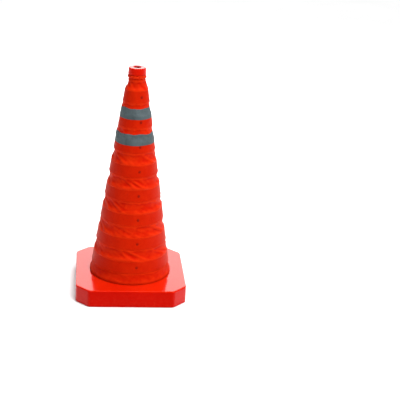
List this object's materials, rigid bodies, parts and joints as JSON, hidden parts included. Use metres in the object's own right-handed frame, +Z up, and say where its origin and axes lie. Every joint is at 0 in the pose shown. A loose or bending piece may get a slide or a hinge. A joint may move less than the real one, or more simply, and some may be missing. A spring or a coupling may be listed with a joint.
{
  "type": "folding traffic cone",
  "caption": "Folding road cone: stacked plastic hoops inside a fabric sleeve with two reflective bands, a hollow cap and a square chamfered base it folds into.",
  "frame": {"origin": "on the ground under the cone's axis, at the centre of the base", "axes": "+Z up along the cone's axis; -X is the side the cone bends over to; -Y is the side with the line of rivets"},
  "size_m": [0.3, 0.3, 0.6265],
  "materials": {
    "base_plastic": "glossy moulded, deep red-orange",
    "plate_plastic": "fine textured moulding",
    "foot_rubber": "matt black rubber",
    "screw_steel": "zinc plated",
    "hoop_plastic": "satin polypropylene strip",
    "rivet_metal": "red painted rivet",
    "clamp_plastic": "moulded",
    "sleeve_fabric": "woven fluorescent red-orange fabric with a slight sheen",
    "reflective_tape": "bluish grey retroreflective fabric tape",
    "cap_plastic": "glossy moulded"
  },
  "bodies": {
    "base": {"base_cover": "base_plastic", "base_plate": "plate_plastic", "clamp_ring": "clamp_plastic", "sleeve_hem": "sleeve_fabric", "clamp_rivet_1": "rivet_metal", "clamp_rivet_2": "rivet_metal", "clamp_rivet_3": "rivet_metal", "clamp_rivet_4": "rivet_metal", "clamp_rivet_5": "rivet_metal", "clamp_rivet_6": "rivet_metal", "plate_screw_1": "screw_steel", "plate_screw_2": "screw_steel", "plate_screw_3": "screw_steel", "plate_screw_4": "screw_steel", "foot_1": "foot_rubber", "foot_2": "foot_rubber", "foot_3": "foot_rubber", "foot_4": "foot_rubber"},
    "panel_1": {"sleeve_panel_1": "sleeve_fabric"},
    "ring_1": {"ring_strip_1": "hoop_plastic", "sleeve_band_1": "sleeve_fabric", "rivet_1": "rivet_metal"},
    "panel_2": {"sleeve_panel_2": "sleeve_fabric"},
    "ring_2": {"ring_strip_2": "hoop_plastic", "sleeve_band_2": "sleeve_fabric", "rivet_2": "rivet_metal"},
    "panel_3": {"sleeve_panel_3": "sleeve_fabric"},
    "ring_3": {"ring_strip_3": "hoop_plastic", "sleeve_band_3": "sleeve_fabric", "rivet_3": "rivet_metal"},
    "panel_4": {"sleeve_panel_4": "sleeve_fabric"},
    "ring_4": {"ring_strip_4": "hoop_plastic", "sleeve_band_4": "sleeve_fabric", "rivet_4": "rivet_metal"},
    "panel_5": {"sleeve_panel_5": "sleeve_fabric"},
    "ring_5": {"ring_strip_5": "hoop_plastic", "sleeve_band_5": "sleeve_fabric", "rivet_5": "rivet_metal"},
    "panel_6": {"sleeve_panel_6": "sleeve_fabric"},
    "ring_6": {"ring_strip_6": "hoop_plastic", "sleeve_band_6": "sleeve_fabric", "rivet_6": "rivet_metal"},
    "panel_7": {"sleeve_panel_7": "sleeve_fabric", "reflective_tape_lower": "reflective_tape"},
    "ring_7": {"ring_strip_7": "hoop_plastic", "sleeve_band_7": "sleeve_fabric", "rivet_7": "rivet_metal"},
    "panel_8": {"sleeve_panel_8": "sleeve_fabric", "reflective_tape_upper": "reflective_tape"},
    "ring_8": {"ring_strip_8": "hoop_plastic", "sleeve_band_8": "sleeve_fabric", "rivet_8": "rivet_metal"},
    "panel_9": {"sleeve_panel_9": "sleeve_fabric"},
    "cap": {"cap_body": "cap_plastic", "cap_collar": "sleeve_fabric", "neck_band": "hoop_plastic"}
  },
  "joints": [
    {"name": "slide_1", "type": "slide", "parent": "base", "child": "panel_1", "axis": [0, 0, -1], "range_m": [0, 0.072], "deforming": ["sleeve_panel_1"]},
    {"name": "tip_1", "type": "hinge", "parent": "panel_1", "child": "ring_1", "pos_m": [0.1062, 0, 0.081], "axis": [0, 1, 0], "range_deg": [-2.5, 0]},
    {"name": "slide_2", "type": "slide", "parent": "ring_1", "child": "panel_2", "axis": [0, 0, -1], "range_m": [0, 0.0652], "deforming": ["sleeve_panel_2"]},
    {"name": "tip_2", "type": "hinge", "parent": "panel_2", "child": "ring_2", "pos_m": [0.09615, 0, 0.1462], "axis": [0, 1, 0], "range_deg": [-5, 0]},
    {"name": "slide_3", "type": "slide", "parent": "ring_2", "child": "panel_3", "axis": [0, 0, -1], "range_m": [0, 0.0652], "deforming": ["sleeve_panel_3"]},
    {"name": "tip_3", "type": "hinge", "parent": "panel_3", "child": "ring_3", "pos_m": [0.0861, 0, 0.2114], "axis": [0, 1, 0], "range_deg": [-8.5, 0]},
    {"name": "slide_4", "type": "slide", "parent": "ring_3", "child": "panel_4", "axis": [0, 0, -1], "range_m": [0, 0.0652], "deforming": ["sleeve_panel_4"]},
    {"name": "tip_4", "type": "hinge", "parent": "panel_4", "child": "ring_4", "pos_m": [0.07605, 0, 0.2766], "axis": [0, 1, 0], "range_deg": [-11, 0]},
    {"name": "slide_5", "type": "slide", "parent": "ring_4", "child": "panel_5", "axis": [0, 0, -1], "range_m": [0, 0.0652], "deforming": ["sleeve_panel_5"]},
    {"name": "tip_5", "type": "hinge", "parent": "panel_5", "child": "ring_5", "pos_m": [0.066, 0, 0.3418], "axis": [0, 1, 0], "range_deg": [-13, 0]},
    {"name": "slide_6", "type": "slide", "parent": "ring_5", "child": "panel_6", "axis": [0, 0, -1], "range_m": [0, 0.0652], "deforming": ["sleeve_panel_6"]},
    {"name": "tip_6", "type": "hinge", "parent": "panel_6", "child": "ring_6", "pos_m": [0.05595, 0, 0.407], "axis": [0, 1, 0], "range_deg": [-15.5, 0]},
    {"name": "slide_7", "type": "slide", "parent": "ring_6", "child": "panel_7", "axis": [0, 0, -1], "range_m": [0, 0.0652], "deforming": ["sleeve_panel_7", "reflective_tape_lower"]},
    {"name": "tip_7", "type": "hinge", "parent": "panel_7", "child": "ring_7", "pos_m": [0.0459, 0, 0.4722], "axis": [0, 1, 0], "range_deg": [-19, 0]},
    {"name": "slide_8", "type": "slide", "parent": "ring_7", "child": "panel_8", "axis": [0, 0, -1], "range_m": [0, 0.0652], "deforming": ["sleeve_panel_8", "reflective_tape_upper"]},
    {"name": "tip_8", "type": "hinge", "parent": "panel_8", "child": "ring_8", "pos_m": [0.03585, 0, 0.5374], "axis": [0, 1, 0], "range_deg": [-20, 0]},
    {"name": "slide_9", "type": "slide", "parent": "ring_8", "child": "panel_9", "axis": [0, 0, -1], "range_m": [0, 0.0556], "deforming": ["sleeve_panel_9"]},
    {"name": "tip_9", "type": "hinge", "parent": "panel_9", "child": "cap", "pos_m": [0.0228, 0, 0.596], "axis": [0, 1, 0], "range_deg": [-12, 0]}
  ]
}
